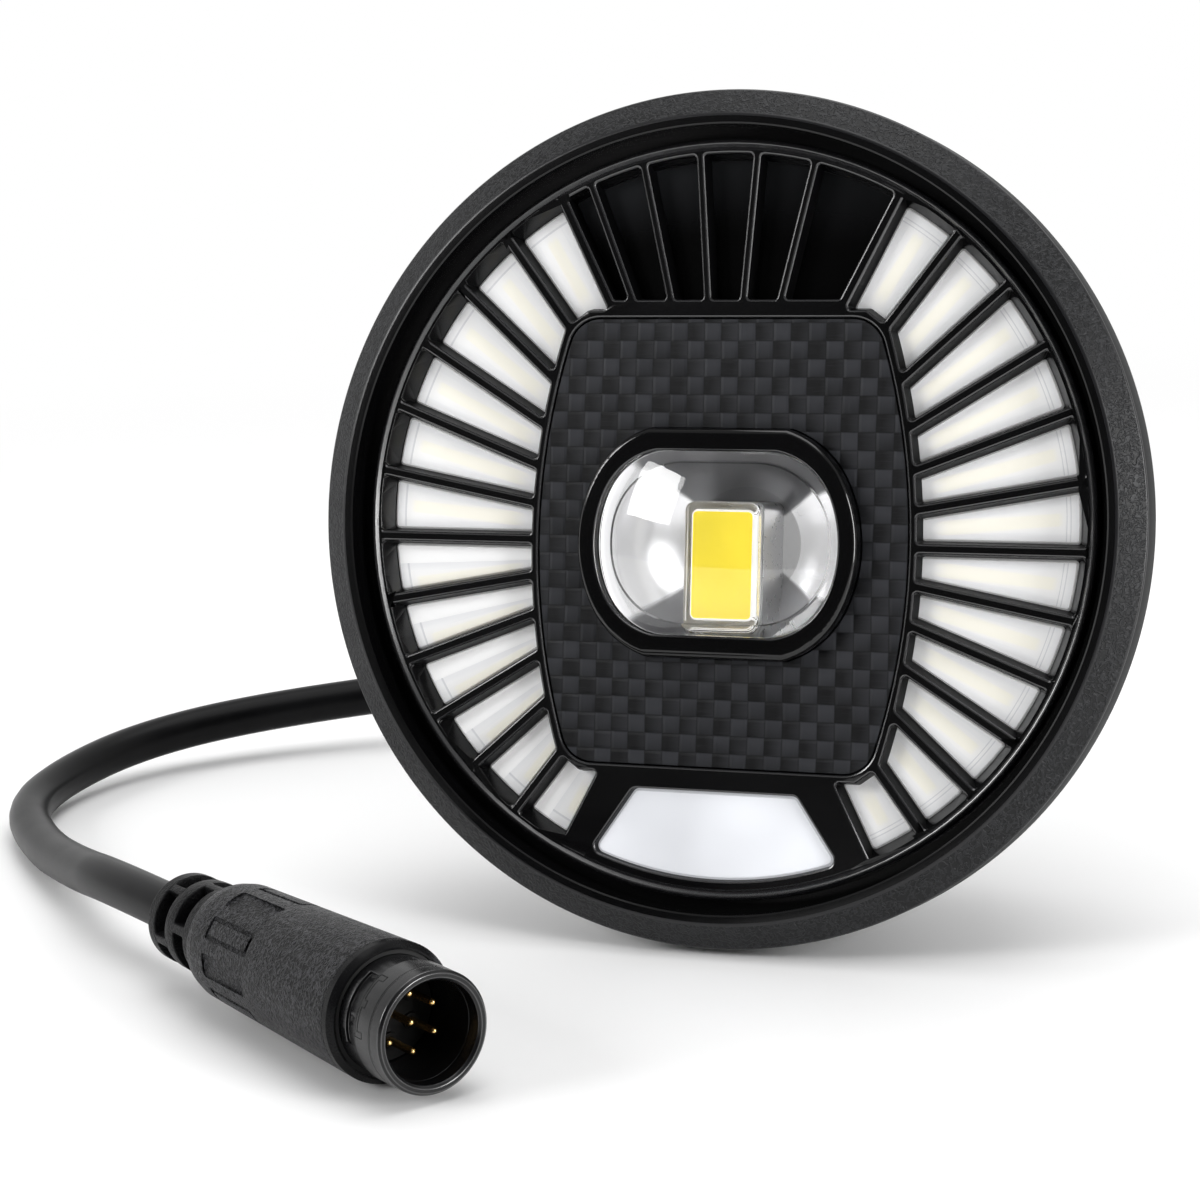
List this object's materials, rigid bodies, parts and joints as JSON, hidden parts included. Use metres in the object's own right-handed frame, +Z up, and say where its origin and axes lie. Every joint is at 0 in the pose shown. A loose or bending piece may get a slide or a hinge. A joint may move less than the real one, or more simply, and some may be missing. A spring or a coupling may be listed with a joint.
{
  "type": "bicycle headlight",
  "caption": "Round bicycle headlight with a spoked ring of white light windows, a flat-sided centre lens, a finned rear housing, two mounting ears and a lead with a waterproof plug.",
  "frame": {"origin": "on the ground, below the middle of the lamp head's footprint, where the head stands on its ring and its ears", "axes": "+Z up, the lamp looks along -Y and leans back 10.5 degrees, +X to the right of someone who looks at its front"},
  "size_m": [0.2137, 0.2081, 0.1289],
  "materials": {
    "bezel": "matte black, fine wrinkle",
    "frame": "satin gloss black",
    "smoked": "gloss black, smoked",
    "diffuser": "frosted white",
    "circuit": "white solder mask",
    "strip": "pale yellow phosphor",
    "milky": "milky white, smooth",
    "woven": "woven carbon look, satin",
    "lens": "clear, polished",
    "seal": "soft matte",
    "mirror_coat": "bright mirror coat",
    "heat_sink": "bright milled",
    "substrate": "white ceramic",
    "phosphor": "yellow, slightly satin",
    "inner": "matte black",
    "housing": "fine matte black powder coat",
    "steel": "blackened steel",
    "gland": "satin black nylon",
    "relief": "satin black rubber",
    "cord": "satin black jacket",
    "grip": "fine wrinkled black rubber",
    "barrel": "satin black",
    "gold": "gold plated"
  },
  "bodies": {
    "root": {"bezel_ring": "bezel", "face_frame": "frame", "bay_panel": "smoked", "light_guide_left": "diffuser", "light_guide_right": "diffuser", "led_board_left": "circuit", "led_board_right": "circuit", "led_strips_left": "strip", "led_strips_right": "strip", "position_lens": "milky", "position_board": "circuit", "centre_panel": "woven", "lens_bezel": "frame", "main_lens": "lens", "lens_seal": "seal", "main_reflector": "mirror_coat", "led_pedestal": "heat_sink", "led_substrate": "substrate", "led_phosphor": "phosphor", "led_cover": "lens", "carrier_plate": "inner", "driver_board": "circuit", "rear_housing": "housing", "housing_seal": "seal", "housing_screws": "steel", "breather_valve": "inner", "cable_gland": "gland", "gland_nut": "gland", "gland_seal": "seal", "gland_boot": "relief", "gland_lead": "cord", "mount_ear_left": "housing", "mount_ear_right": "housing", "ear_screws": "steel", "connector_grip": "grip", "connector_seal": "seal", "connector_barrel": "barrel", "pin_carrier": "inner", "contact_pins": "gold", "plug_lead": "cord", "strain_relief": "relief", "cord": "cord"}
  },
  "joints": []
}
